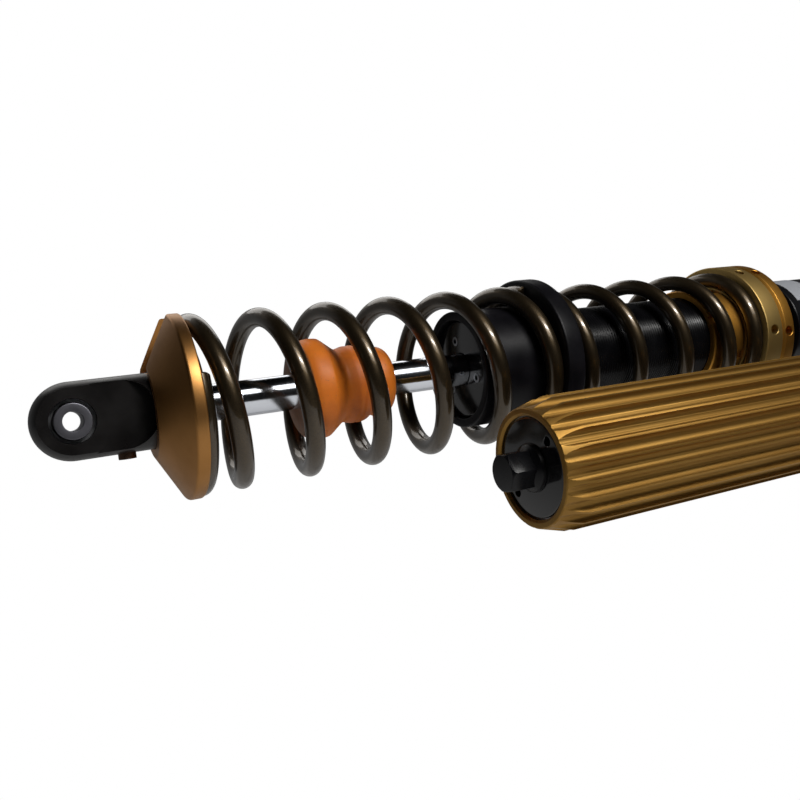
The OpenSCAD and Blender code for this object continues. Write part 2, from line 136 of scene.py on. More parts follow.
def rounded(corners):
    """Closed outline of (x, radius) with each corner (x, radius, fillet) rounded off."""
    steps, count = 4, len(corners)
    outline = []
    for i, corner in enumerate(corners):
        here = Vector(corner[:2])
        fillet = corner[2] if len(corner) > 2 else 0
        back = Vector(corners[i - 1][:2]) - here
        ahead = Vector(corners[(i + 1) % count][:2]) - here
        if fillet <= 0 or back.length < 1e-9 or ahead.length < 1e-9:
            outline.append(tuple(here))
            continue
        half = back.angle(ahead) / 2
        reach = min(fillet / math.tan(half), back.length * 0.45, ahead.length * 0.45)
        start, end = here + back.normalized() * reach, here + ahead.normalized() * reach
        for k in range(steps + 1):
            t = k / steps
            outline.append(tuple((1 - t) ** 2 * start + 2 * t * (1 - t) * here + t * t * end))
    return outline


def lathe(name, corners, centre=SHAFT_AXIS, segments=SEGMENTS, angle=28):
    """Closed outline of (x, radius[, fillet]) revolved round a line along X."""
    outline = rounded(corners)
    points, rings = [], []
    for x, radius in outline:
        count = 1 if radius < 1e-7 else segments
        rings.append((len(points), count))
        for k in range(count):
            points.append((x, *around(360 * k / segments, radius, centre)))
    faces = []
    for (low, low_count), (high, high_count) in zip(rings, rings[1:] + rings[:1]):
        if low_count == high_count == 1:
            continue
        for k in range(segments):
            n = (k + 1) % segments
            face = (low + k % low_count, low + n % low_count, high + n % high_count, high + k % high_count)
            faces.append(list(dict.fromkeys(face)))
    return smooth(mesh_object(name, points, faces), angle)


def bake_modifiers(piece):
    """Replaces a piece's mesh by the result of its modifiers."""
    bpy.context.view_layer.update()
    graph = bpy.context.evaluated_depsgraph_get()
    mesh = bpy.data.meshes.new_from_object(piece.evaluated_get(graph))
    piece.modifiers.clear()
    piece.data = mesh


def combine(piece, others, operation):
    """Applies a boolean with each of the others and removes them."""
    for other in others:
        modifier = piece.modifiers.new("combine", "BOOLEAN")
        modifier.operation = operation
        modifier.solver = "EXACT"
        modifier.object = other
    bake_modifiers(piece)
    for other in others:
        bpy.data.objects.remove(other)


def cut(piece, cutters, angle=28):
    """Takes each cutter out of the piece and removes the cutters."""
    combine(piece, cutters, "DIFFERENCE")
    return smooth(piece, angle)


def bevelled(piece, width, segments=3, angle=30):
    """Rounds the sharp edges of a piece; the flats beside them keep their own normals."""
    shell = bmesh.new()
    shell.from_mesh(piece.data)
    bmesh.ops.remove_doubles(shell, verts=shell.verts, dist=1e-6)
    bmesh.ops.dissolve_limit(shell, angle_limit=math.radians(0.5), verts=shell.verts, edges=shell.edges)
    shell.to_mesh(piece.data)
    shell.free()
    modifier = piece.modifiers.new("edges", "BEVEL")
    modifier.harden_normals = True
    modifier.width = width
    modifier.segments = segments
    modifier.limit_method = "ANGLE"
    modifier.angle_limit = math.radians(angle)
    bake_modifiers(piece)


def block(name, low, high, turn=None):
    """Box between two corners, optionally turned by a matrix."""
    points = [(x, y, z) for x in (low[0], high[0]) for y in (low[1], high[1]) for z in (low[2], high[2])]
    faces = [(0, 1, 3, 2), (4, 6, 7, 5), (0, 4, 5, 1), (2, 3, 7, 6), (0, 2, 6, 4), (1, 5, 7, 3)]
    piece = mesh_object(name, points, faces)
    if turn is not None:
        piece.data.transform(turn)
    return piece


HOLE_SEGMENTS = 48
OVER = 2 * MM  # how far a hole's cutter stands out of the surface


def hole_cutter(radius, depth, rim, point, matrix):
    """Cutter for a hole with a chamfered rim and a conical end, placed by a matrix."""
    outline = [(-OVER, 0), (-OVER, radius + rim + OVER), (rim, radius), (depth, radius), (depth + point, 0)]
    cutter = lathe("cutter", outline, segments=HOLE_SEGMENTS)
    cutter.data.transform(matrix)
    return cutter


def radial_hole(x, angle, surface, radius, depth, rim):
    """Cutter for a hole from the surface towards the shaft's axis."""
    y, z = around(angle, surface)
    inward = Vector((0, -y, -z)).normalized()
    matrix = Matrix.Translation((x, y, z)) @ inward.to_track_quat("X", "Z").to_matrix().to_4x4()
    return hole_cutter(radius, depth, rim, radius / 2, matrix)


def face_hole(x, y, z, radius, depth, rim):
    """Cutter for a flat-bottomed hole along +X in a face at x."""
    return hole_cutter(radius, depth, rim, 0, Matrix.Translation((x, y, z)))


# ---- Materials ----


def new_material(name, colour, **values):
    """Principled material with constant sockets; returns (material, node tree, shader)."""
    material = bpy.data.materials.new(name)
    material.use_nodes = True
    tree = material.node_tree
    shader = tree.nodes["Principled BSDF"]
    shader.inputs["Base Color"].default_value = (*colour, 1)
    for socket, value in values.items():
        shader.inputs[socket.replace("_", " ")].default_value = value
    return material, tree, shader


def node(tree, kind, inputs=None, **settings):
    """Adds a node, with settings and constant or linked inputs."""
    made = tree.nodes.new(kind)
    for key, value in settings.items():
        setattr(made, key, value)
    for key, value in (inputs or {}).items():
        if isinstance(value, bpy.types.NodeSocket):
            tree.links.new(value, made.inputs[key])
        else:
            made.inputs[key].default_value = value
    return made


def place(tree, scale=(1, 1, 1)):
    """Object coordinates, which are the CAD model's, scaled."""
    coordinates = node(tree, "ShaderNodeTexCoord").outputs["Object"]
    return node(tree, "ShaderNodeMapping", {"Vector": coordinates, "Scale": scale}).outputs["Vector"]


def turned_place(tree, scale):
    """(x, distance from the shaft's axis, 0), scaled: patterns that follow a turning tool."""
    coordinates = node(tree, "ShaderNodeTexCoord").outputs["Object"]
    parts = node(tree, "ShaderNodeSeparateXYZ", {"Vector": coordinates}).outputs
    flat = node(tree, "ShaderNodeCombineXYZ", {"X": parts["Y"], "Y": parts["Z"]}).outputs[0]
    radius = node(tree, "ShaderNodeVectorMath", {0: flat}, operation="LENGTH").outputs["Value"]
    joined = node(tree, "ShaderNodeCombineXYZ", {"X": parts["X"], "Y": radius}).outputs[0]
    return node(tree, "ShaderNodeMapping", {"Vector": joined, "Scale": scale}).outputs["Vector"]


def noise(tree, vector, scale, detail, rough=0.5):
    """Value of a noise texture, about 0.3 to 0.7."""
    inputs = {"Vector": vector, "Scale": scale, "Detail": detail, "Roughness": rough}
    return node(tree, "ShaderNodeTexNoise", inputs).outputs["Fac"]


def span(tree, value, low, high, start=0.0, end=1.0):
    """Value mapped from start..end to low..high, and held there outside them."""
    inputs = {"Value": value, "From Min": start, "From Max": end, "To Min": low, "To Max": high}
    return node(tree, "ShaderNodeMapRange", inputs).outputs["Result"]


def mixed(tree, factor, first, second):
    """Colour between first and second; first may come from another node."""
    mix = node(tree, "ShaderNodeMix", data_type="RGBA")
    tree.links.new(factor, mix.inputs["Factor"])
    if isinstance(first, bpy.types.NodeSocket):
        tree.links.new(first, mix.inputs["A"])
    else:
        mix.inputs["A"].default_value = (*first, 1)
    mix.inputs["B"].default_value = (*second, 1)
    return mix.outputs["Result"]


def bump(tree, shader, height, distance, strength, socket="Normal"):
    """Bump from a height value; distance is in metres."""
    made = node(tree, "ShaderNodeBump", {"Height": height, "Distance": distance, "Strength": strength})
    tree.links.new(made.outputs["Normal"], shader.inputs[socket])


def added(tree, first, second, share):
    """first plus share times second."""
    scaled = node(tree, "ShaderNodeMath", {0: second, 1: share}, operation="MULTIPLY").outputs[0]
    return node(tree, "ShaderNodeMath", {0: first, 1: scaled}, operation="ADD").outputs[0]


def tint(tree, shader, factor, low, high, colours):
    """Base colour between two colours, as factor goes from low to high."""
    tree.links.new(mixed(tree, span(tree, factor, 0, 1, low, high), *colours), shader.inputs["Base Color"])


def roughen(tree, shader, factor, low, high, limits):
    """Roughness between two limits, as factor goes from low to high."""
    tree.links.new(span(tree, factor, *limits, low, high), shader.inputs["Roughness"])


def turned_metal(name, colour, shade, rough, ring=0.25):
    """Turned and anodised metal: fine tool rings, blotchy dye, soft sheen."""
    material, tree, shader = new_material(name, colour, Metallic=1.0)
    rings = noise(tree, turned_place(tree, (2600, 2600, 1)), 1.0, 4)
    cloud = noise(tree, place(tree), 45, 5)
    tint(tree, shader, cloud, 0.3, 0.7, (colour, shade))
    roughen(tree, shader, added(tree, cloud, rings, 0.6), 0.4, 1.2, (rough - 0.07, rough + 0.07))
    bump(tree, shader, rings, 0.00001, ring)
    return material


def milled_gold():
    """Anodised reservoir: long cutter lines along the flutes."""
    colour, shade = (0.325, 0.185, 0.047), (0.28, 0.152, 0.035)
    material, tree, shader = new_material("milled_gold", colour, Metallic=1.0)
    lines = noise(tree, place(tree, (12, 2200, 2200)), 1.0, 4)
    cloud = noise(tree, place(tree, (20, 60, 60)), 1.0, 5)
    tint(tree, shader, cloud, 0.3, 0.7, (colour, shade))
    roughen(tree, shader, added(tree, cloud, lines, 0.6), 0.4, 1.2, (0.46, 0.56))
    bump(tree, shader, lines, 0.00001, 0.08)
    return material


def spring_finish():
    """Bronze-grey metallic powder under clear lacquer."""
    colour, shade = (0.078, 0.054, 0.028), (0.040, 0.029, 0.016)
    material, tree, shader = new_material(
        "spring_finish", colour, Metallic=0.85, Coat_Weight=0.8, Coat_Roughness=0.07, Coat_IOR=1.5)
    flakes = noise(tree, place(tree), 2400, 2)
    cloud = noise(tree, place(tree), 30, 5)
    tint(tree, shader, flakes, 0.35, 0.65, (colour, shade))
    roughen(tree, shader, cloud, 0.3, 0.7, (0.30, 0.42))
    peel = noise(tree, place(tree), 380, 3)
    bump(tree, shader, peel, 0.00003, 0.35)
    bump(tree, shader, peel, 0.00003, 0.25, "Coat Normal")
    return material


def chrome_finish():
    """Hard chrome, polished along the turning."""
    material, tree, shader = new_material("chrome_finish", (0.74, 0.77, 0.83), Metallic=1.0)
    rings = noise(tree, turned_place(tree, (5200, 900, 1)), 1.0, 3)
    wipe = noise(tree, place(tree, (30, 160, 160)), 1.0, 4)
    roughen(tree, shader, added(tree, wipe, rings, 0.5), 0.5, 1.1, (0.10, 0.19))
    bump(tree, shader, rings, 0.000003, 0.3)
    return material


def black_finish(name, colour, rough, grain, depth, coat=0.0, gloss=0.35, on_lathe=False):
    """Black anodising, paint or plastic: fine grain and a little smear in the gloss."""
    material, tree, shader = new_material(
        name, colour, Metallic=0.0, Coat_Weight=coat, Coat_Roughness=0.12, Specular_IOR_Level=gloss)
    vector = turned_place(tree, (grain, grain, 1)) if on_lathe else place(tree, (grain,) * 3)
    fine = noise(tree, vector, 1.0, 3)
    smear = noise(tree, place(tree), 60, 5)
    lighter = tuple(min(1, c * 1.6 + 0.002) for c in colour)
    tint(tree, shader, smear, 0.35, 0.7, (colour, lighter))
    roughen(tree, shader, added(tree, smear, fine, 0.4), 0.4, 1.0, (rough - 0.08, rough + 0.08))
    bump(tree, shader, fine, depth, 0.5)
    return material


def urethane():
    """Cast polyurethane: waxy orange, browner in the middle, its left face darkened as painted shade and
    dirt, with dark specks of grime, scuffs and pits.
    """
    colour, shade = (0.74, 0.195, 0.016), (0.52, 0.125, 0.012)
    material, tree, shader = new_material(
        "urethane", colour, Subsurface_Weight=0.1, Subsurface_Scale=0.002, Specular_IOR_Level=0.35)
    shader.inputs["Subsurface Radius"].default_value = (1.0, 0.35, 0.08)
    start = extent("bump_stop")[0]
    along = node(tree, "ShaderNodeSeparateXYZ", {"Vector": place(tree)}).outputs["X"]
    cloud = noise(tree, place(tree), 55, 6, 0.62)
    scuff = noise(tree, turned_place(tree, (900, 260, 1)), 1.0, 5)
    speck = noise(tree, place(tree), 900, 2)
    rising = span(tree, along, 0, 0.85, start + 22 * MM, start + 29 * MM)
    falling = span(tree, along, 1, 0, start + 38 * MM, start + 43 * MM)
    middle = node(tree, "ShaderNodeMath", {0: rising, 1: falling}, operation="MULTIPLY").outputs[0]
    body = mixed(tree, added(tree, span(tree, cloud, 0, 0.6, 0.35, 0.65), middle, 0.7), colour, shade)
    # Left face pulled towards the grime colour: painted shade and dirt together; the specks over the rest are
    # grime.
    face_shade_and_dirt = added(tree, span(tree, along, 0.85, 0, start + 0.2 * MM, start + 1.6 * MM),
                 span(tree, speck, 0, 1, 0.66, 0.76), 0.6)
    shaded_and_grimy = mixed(tree, face_shade_and_dirt, body, (0.17, 0.10, 0.06))
    tree.links.new(shaded_and_grimy, shader.inputs["Base Color"])
    roughen(tree, shader, added(tree, cloud, scuff, 0.7), 0.5, 1.2, (0.40, 0.62))
    bump(tree, shader, added(tree, added(tree, cloud, scuff, 0.35), speck, 0.2), 0.00016, 0.5)
    return material


def label_film():
    """Blank satin film."""
    material, tree, shader = new_material(
        "label_film", (0.46, 0.48, 0.52), Metallic=0.35, Specular_IOR_Level=0.4)
    grain = noise(tree, place(tree), 1900, 3)
    tree.links.new(mixed(tree, grain, (0.38, 0.40, 0.44), (0.54, 0.56, 0.60)), shader.inputs["Base Color"])
    roughen(tree, shader, grain, 0.3, 0.7, (0.40, 0.52))
    bump(tree, shader, grain, 0.00001, 0.4)
    return material


def steel(name, colour, rough):
    """Machined steel with tool marks."""
    material, tree, shader = new_material(name, colour, Metallic=1.0)
    marks = noise(tree, place(tree), 1500, 3)
    stain = noise(tree, place(tree), 90, 5)
    roughen(tree, shader, stain, 0.3, 0.7, (rough - 0.08, rough + 0.08))
    darker = tuple(c * 0.8 for c in colour)
    tint(tree, shader, stain, 0.35, 0.65, (colour, darker))
    bump(tree, shader, marks, 0.00001, 0.4)
    return material


MATERIALS = {
    "black_thread": black_finish(
        "black_thread", (0.002, 0.002, 0.0025), 0.24, 1800, 0.000008, gloss=0.14, on_lathe=True),
    "black_anodised": black_finish(
        "black_anodised", (0.0035, 0.0035, 0.0045), 0.30, 2200, 0.000008, gloss=0.22),
    "gloss_black": black_finish(
        "gloss_black", (0.003, 0.003, 0.0035), 0.14, 2600, 0.000004, coat=0.5, gloss=0.5, on_lathe=True),
    "black_eye": black_finish("black_eye", (0.0042, 0.0036, 0.0036), 0.34, 1500, 0.000012, gloss=0.3),
    "black_plastic": black_finish("black_plastic", (0.0035, 0.0033, 0.0045), 0.40, 1300, 0.00002, gloss=0.12),
    "silver_label": label_film(),
    "gold_anodised": milled_gold(),
    "gold_ring": turned_metal("gold_ring", (0.56, 0.285, 0.055), (0.47, 0.23, 0.04), 0.46, ring=0.5),
    "gold_collar": turned_metal("gold_collar", (0.46, 0.32, 0.115), (0.40, 0.27, 0.09), 0.52, ring=0.5),
    "bronze_gold": turned_metal("bronze_gold", (0.42, 0.205, 0.065), (0.35, 0.168, 0.05), 0.40),
    # The knob is the retainer's bronze; its darker colour here is painted shade.
    "bronze_knob": turned_metal("bronze_knob", (0.14, 0.085, 0.055), (0.10, 0.06, 0.04), 0.42),
    "spring_coat": spring_finish(),
    "chrome_shaft": chrome_finish(),
    "polished_steel": steel("polished_steel", (0.72, 0.73, 0.75), 0.16),
    "steel": steel("steel", (0.42, 0.43, 0.45), 0.36),
    "grey_steel": steel("grey_steel", (0.15, 0.15, 0.17), 0.46),
    "bare_aluminium": turned_metal("bare_aluminium", (0.70, 0.71, 0.73), (0.62, 0.63, 0.65), 0.32),
    "bronze_bush": turned_metal("bronze_bush", (0.50, 0.36, 0.16), (0.42, 0.29, 0.12), 0.38),
    "valve_brass": turned_metal("valve_brass", (0.70, 0.52, 0.20), (0.62, 0.44, 0.15), 0.30),
    "orange_urethane": urethane(),
    "seal_rubber": black_finish("seal_rubber", (0.010, 0.010, 0.010), 0.62, 900, 0.00003),
}
SLOTS = {row["node"]: row["material_slot"] for row in frame["record"]["subparts"]}
BODIES = {n: body for body, nodes in frame["record"]["behaviour"]["bodies"].items() for n in nodes}


def dress(piece, slot_name):
    """Gives a piece its slot's material."""
    piece.data.materials.clear()
    piece.data.materials.append(MATERIALS[slot_name])


def stand_for(piece, cad_node):
    """The piece replaces a CAD node: same body, same slot."""
    dress(piece, SLOTS[cad_node])
    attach(piece, BODIES[cad_node])
    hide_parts(cad_node)
    return piece


for cad_name, cad_object in frame["nodes"].items():
    dress(cad_object, SLOTS[cad_name])


# ---- Pieces ----


def placed(piece, x, direction=(0, 1, 0)):
    """Turns a piece made along X to lie along a direction and moves it to x."""
    turn = Vector(direction).to_track_quat("X", "Z").to_matrix().to_4x4()
    piece.data.transform(Matrix.Translation((x, 0, 0)) @ turn)
    return piece


def metres(corners):
    """(station, radius, fillet) corners in mm as (x, radius, fillet) in metres."""
    return [(station(c[0]), c[1] * MM, *(f * MM for f in c[2:])) for c in corners]


def local(corners):
    """(length, radius, fillet) corners in mm as metres, without the move to a station."""
    return [tuple(v * MM for v in c) for c in corners]


def turned(cad_node, corners, centre=SHAFT_AXIS, holes=()):
    """Turned piece that stands for a CAD node."""
    piece = lathe(cad_node + "_finished", metres(corners), centre)
    if holes:
        cut(piece, holes)
    stand_for(piece, cad_node)


def joined_slope(t, low_slope, high_slope, corner, half):
    """Straight line that blends into a steeper one: closed coil to open coil."""
    if t < corner - half:
        return low_slope * (t - corner)
    if t > corner + half:
        return high_slope * (t - corner)
    return low_slope * (t - corner) + (high_slope - low_slope) * (t - corner + half) ** 2 / (4 * half)


def coil(cad_node, wire, pitch, base, open_turns, ends):
    """Right-handed coil spring with closed, ground ends.

    The wire, the pitch and the station of turn 0 are in mm. open_turns are the turns
    between which the pitch is the open one; ends are the turns where the wire ends.
    """
    low, high, outer = extent(cad_node)
    wire = wire * MM
    mean = outer - wire / 2
    sides, per_turn, closed_rise, blend = 36, 96, 3, 0.2
    first, last = ends
    middle = sum(open_turns) / 2

    def centre_x(t):
        if t < middle:
            run = joined_slope(t, closed_rise, pitch, open_turns[0], blend)
            return station(base + pitch * open_turns[0] + run)
        run = joined_slope(-t, closed_rise, pitch, -open_turns[1], blend)
        return station(base + pitch * open_turns[1] - run)

    def ring(t, share):
        turn = 2 * math.pi * t
        points = []
        for k in range(sides):
            a = 2 * math.pi * (k + 0.5) / sides
            radius = mean + share * wire / 2 * math.cos(a)
            x = centre_x(t) + share * wire / 2 * math.sin(a)
            points.append((min(max(x, low), high), -radius * math.sin(turn), radius * math.cos(turn)))
        return points

    count = round((last - first) * per_turn)
    lip, lip_share = 0.003, 0.86
    stops = [(first + (last - first) * i / count, 1) for i in range(count + 1)]
    stops = [(first - lip, lip_share)] + stops + [(last + lip, lip_share)]
    points = [p for t, share in stops for p in ring(t, share)]
    faces = []
    for i in range(len(stops) - 1):
        for k in range(sides):
            n = (k + 1) % sides
            faces.append((i * sides + k, i * sides + n, (i + 1) * sides + n, (i + 1) * sides + k))
    faces.append(tuple(range(sides))[::-1])
    faces.append(tuple((len(stops) - 1) * sides + k for k in range(sides)))
    piece = smooth(mesh_object(cad_node + "_finished", points, faces), 35)
    return stand_for(piece, cad_node)


def springs():
    """Both springs, each with a mesh of its own."""
    main = coil("main_spring", 11, 40.45, 64.1, (-0.0587, 5.31), (-0.8, 6.05))
    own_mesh(main)

    tender = coil("tender_spring", 10.3, 40.65, 295.84, (0.106, 3.89), (-0.66, 4.549))
    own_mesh(tender)


def retainer():
    """Cupped spring seat with its slip-on slot."""
    slot = 11 * MM
    piece = lathe("spring_retainer_finished", metres([
        (39.3, 21.1), (39.3, 25.9, 0.7), (53.3, 51.5, 2.0), (60, 51.5, 1.2), (60, 37.6, 0.2),
        (64, 36.8, 0.8), (64, 33.5, 0.5), (60, 32.5), (60, 10.7), (53.1, 10.7), (53.1, 21.1)]))
    cut(piece, [block("cutter", (station(30), -slot, 0), (station(70), slot, 60 * MM))])
    bevelled(piece, 0.45 * MM)
    stand_for(piece, "spring_retainer")


def smooth_profile(points):
    """Catmull-Rom curve through (length, radius) points, in mm."""
    curve, steps = [], 5
    padded = [points[0]] + points + [points[-1]]
    for a, b, c, d in zip(padded, padded[1:], padded[2:], padded[3:]):
        for k in range(steps):
            t = k / steps
            curve.append(tuple(
                0.5 * (2 * b[i] + (c[i] - a[i]) * t + (2 * a[i] - 5 * b[i] + 4 * c[i] - d[i]) * t * t
                       + (3 * b[i] - a[i] - 3 * c[i] + d[i]) * t ** 3) for i in (0, 1)))
    return curve + [points[-1]]


def bump_stop():
    """Three-lobed urethane stop, a little uneven where it was cast."""
    low = extent("bump_stop")[0]
    hole, skin_start = 10.65, 13 * MM
    lobes = [(1.2, 27.8), (4, 29.1), (8, 29.7), (12.4, 29.45), (13.6, 28.9), (15, 27.9), (18, 25.6),
             (21.5, 23.1), (24, 22.1), (26.5, 22.4), (30, 23.3), (32.5, 23.2), (34.5, 23.4),
             (37.5, 22.7), (40, 21.1), (42.3, 19.9), (44, 20.4), (47, 21.4), (51, 21), (53.5, 19.8),
             (54.8, 18.4)]
    skin = [(0, hole + 0.6), (0, 26), (0.3, 26.8)] + smooth_profile(lobes)
    skin += [(55, 17.8), (55, hole + 0.6), (54.4, hole), (0.6, hole)]
    piece = lathe("bump_stop_finished", [(low + x * MM, r * MM) for x, r in skin], angle=50)
    for vertex in piece.data.vertices:
        x, y, z = vertex.co
        radius = math.hypot(y, z)
        if radius > skin_start:
            turn = math.atan2(z, y)
            wave = math.sin(3 * turn + 90 * x) * 0.12 + math.sin(5 * turn - 240 * x) * 0.07
            vertex.co.yz = Vector((y, z)) * (1 + wave * MM / radius)
    stand_for(piece, "bump_stop")


def shaft():
    """Chromed shaft with its threaded post and stud."""
    turned("piston_rod", [
        (34, 3.2), (34, 7.95, 0.8), (54, 7.95), (54, 10.35, 0.3), (282, 10.35, 0.3), (282, 6),
        (318, 6, 0.8), (318, 3.2)])


def slider():
    """Sleeve and flange between the springs, moulded with soft edges."""
    turned("spring_slider", [
        (232, 31.9, 1.2), (232, 37.5, 1.3), (281, 37.5, 0.6), (281, 54, 1.6), (293.6, 54, 1.6),
        (293.6, 37.5, 0.5), (297.6, 37.5, 0.9), (297.6, 31.9, 0.6)])


def seal_head():
    """Glossy end of the damper, its pin-wrench holes and their liners."""
    face, pin_circle = extent("seal_head")[0], 18.7 * MM
    spots = [around(100 + 120 * i, pin_circle) for i in range(3)]
    holes = [face_hole(face, y, z, 3.05 * MM, 6 * MM, 0.15 * MM) for y, z in spots]
    turned("seal_head", [
        (236, 10.95), (236, 31, 1.2), (245.9, 31, 0.3), (245.9, 25.35), (252, 25.35, 0.3), (252, 23),
        (255.4, 23), (255.4, 25.35, 0.3), (272, 25.35, 0.8), (272, 12.5), (256, 12.5), (256, 10.95),
        (250, 10.95), (250, 14), (244, 14), (244, 10.95), (242, 10.95), (242, 14), (237, 14),
        (237, 10.95)], holes=holes)
    liner = local([(-0.35, 1.7), (-0.35, 3, 0.25), (4.7, 3), (4.7, 1.7)])
    rims = [lathe("liner", liner, segments=48) for _ in spots]
    for rim, (y, z) in zip(rims, spots):
        rim.data.transform(Matrix.Translation((face, y, z)))
    stand_for(joined("head_pins_finished", rims), "head_pins")


def joined(name, parts):
    """One object from several."""
    shell = bmesh.new()
    for part in parts:
        shell.from_mesh(part.data)
        bpy.data.objects.remove(part)
    mesh = bpy.data.meshes.new(name)
    shell.to_mesh(mesh)
    shell.free()
    piece = bpy.data.objects.new(name, mesh)
    bpy.context.scene.collection.objects.link(piece)
    return smooth(piece)


def body():
    """Damper tube with its 2 mm outside thread, a true helix."""
    start, end, crest = extent("body_tube")
    bore, depth, lead, sides = 25.4 * MM, 0.55 * MM, 2 * MM, 96
    profile = ((0, depth), (0.22, depth), (0.42, 0), (0.78, 0))
    first, last = start + 1.2 * MM, station(506)
    shank = crest - 0.05 * MM
    rows = [(turn, share, drop) for turn in range(int((last - first) / lead)) for share, drop in profile]

    def circle(x, radius):
        return [(x, *around(360 * k / sides, radius)) for k in range(sides)]

    points = circle(start, bore) + circle(start, crest - depth)
    for turn, share, drop in rows:
        for k in range(sides):
            x = first + lead * (turn + share + k / sides)
            points.append((x, *around(360 * k / sides, crest - drop)))
    for x, radius in ((last + 2.5 * MM, crest - depth), (last + 3.2 * MM, shank), (end - 1 * MM, shank),
                      (end, crest - 1 * MM), (end, bore)):
        points += circle(x, radius)
    ring_count = len(points) // sides
    threaded = range(2, 2 + len(rows))

    def seam(ring):
        """Ring that a thread's row runs on into after a whole turn."""
        after = ring + len(profile)
        return after if ring in threaded and after in threaded else ring

    faces = []
    for i in range(ring_count):
        j = (i + 1) % ring_count
        for k in range(sides - 1):
            faces.append((i * sides + k, i * sides + k + 1, j * sides + k + 1, j * sides + k))
        faces.append(((i + 1) * sides - 1, seam(i) * sides, seam(j) * sides, (j + 1) * sides - 1))
    piece = smooth(mesh_object("body_tube_finished", points, faces), 80)
    stand_for(piece, "body_tube")


def crossover_rings():
    """Stop ring and jam ring, each chamfered and slotted."""
    bore, edge, slot_depth, slot_half = 31.55 * MM, 0.8 * MM, 2.4 * MM, 3 * MM
    for cad_node, phase, slot in (("crossover_stop_ring", 19, (-2 * MM, 9 * MM)),
                                  ("crossover_jam_ring", 64, (6.8 * MM, 15.8 * MM))):
        start, end, outer = extent(cad_node)
        piece = lathe(cad_node + "_finished", [
            (start, bore), (start, outer - edge, 0.2 * MM), (start + edge, outer, 0.3 * MM),
            (end - edge, outer, 0.3 * MM), (end, outer - edge, 0.2 * MM), (end, bore)])
        cutters = []
        for i in range(4):
            low = (start + slot[0], -outer - 1 * MM, -slot_half)
            high = (start + slot[1], -outer + slot_depth, slot_half)
            cutter = block("cutter", low, high)
            cutter.data.transform(Matrix.Rotation(-math.radians(phase + 90 * i), 4, "X"))
            cutters.append(cutter)
        cut(piece, cutters)
        bevelled(piece, 0.25 * MM, 2, 40)
        stand_for(piece, cad_node)


def spanner_holes(mm, phase, surface):
    """Cutters for six countersunk holes in the rim of a ring."""
    return [radial_hole(station(mm), phase + 60 * i, surface, 3.5 * MM, 8 * MM, 0.4 * MM) for i in range(6)]


def collar_and_lock_ring():
    """Preload collar with its pilot, and the ring that locks it."""
    outer = extent("preload_collar")[2]
    turned("preload_collar", [
        (452.5, 31.55), (452.5, 37.4, 1.0), (458.1, 37.4), (458.1, 51.5, 1.1), (472.9, 51.5, 0.5),
        (473.8, 49.4, 0.2), (474.8, 49.4, 0.2), (474.8, 31.55)], holes=spanner_holes(465.4, -1.2, outer))
    turned("lock_ring", [
        (475, 31.55), (475, 49.6, 0.3), (476.6, 51.5, 0.6), (485.5, 51.5, 1.1), (485.5, 31.55)],
        holes=spanner_holes(479.9, -3.6, outer))


def fluted_tube():
    """Reservoir tube: round-bottomed flutes that run out through a front cone."""
    crest, floor, cutter, count, phase = 36.1 * MM, 31.75 * MM, 4 * MM, 24, 3.7
    start, back = station(209.5), station(569.9)
    centre = floor + cutter
    reach = math.acos((centre ** 2 + crest ** 2 - cutter ** 2) / (2 * centre * crest))
    swing = math.acos((cutter ** 2 + centre ** 2 - crest ** 2) / (2 * cutter * centre)) - 0.05
    edge, edge_drop, steps = 0.18 * MM / crest, 0.04 * MM, 14
    section = []
    for i in range(count):
        middle = math.radians(phase) + (i + 0.5) * 2 * math.pi / count
        section.append((middle - reach - 2 * edge, crest))
        section.append((middle - reach - 0.6 * edge, crest - edge_drop))
        for k in range(steps + 1):
            a = swing * (1 - 2 * k / steps)
            x, y = centre - cutter * math.cos(a), -cutter * math.sin(a)
            section.append((middle + math.atan2(y, x), math.hypot(x, y)))
        section.append((middle + reach + 0.6 * edge, crest - edge_drop))
        section.append((middle + reach + 2 * edge, crest))
    size = len(section)
    points = [(x, *around(math.degrees(a), r, RESERVOIR_AXIS)) for x in (start, back) for a, r in section]
    faces = [tuple(range(size))[::-1], tuple(range(size, 2 * size))]
    faces += [(k, (k + 1) % size, size + (k + 1) % size, size + k) for k in range(size)]
    piece = mesh_object("reservoir_tube_finished", points, faces)
    over = 3 * MM
    cone = lathe("cutter", [
        (start - over, 24 * MM), (start - over, 50 * MM), (station(245), 50 * MM), (station(245), 40 * MM),
        (station(226), 36.4 * MM), (start + 0.5 * MM, 32.05 * MM, 0.5 * MM), (start, 31.3 * MM),
        (start, 28.9 * MM, 0.2 * MM), (start + 1.3 * MM, 27.62 * MM), (start + 1.3 * MM, 24 * MM)],
        RESERVOIR_AXIS)
    bore = lathe("cutter", [
        (start - 2 * over, 0), (start - 2 * over, 27.6 * MM), (station(600), 27.6 * MM), (station(600), 0)],
        RESERVOIR_AXIS)
    cut(piece, [cone, bore], 24)
    spigot = lathe("spigot", metres([
        (569, 27.6), (569, 30.75), (580, 30.75, 0.5), (580, 27.6)]), RESERVOIR_AXIS)
    stand_for(joined("reservoir_tube_finished", [piece, spigot]), "reservoir_tube")


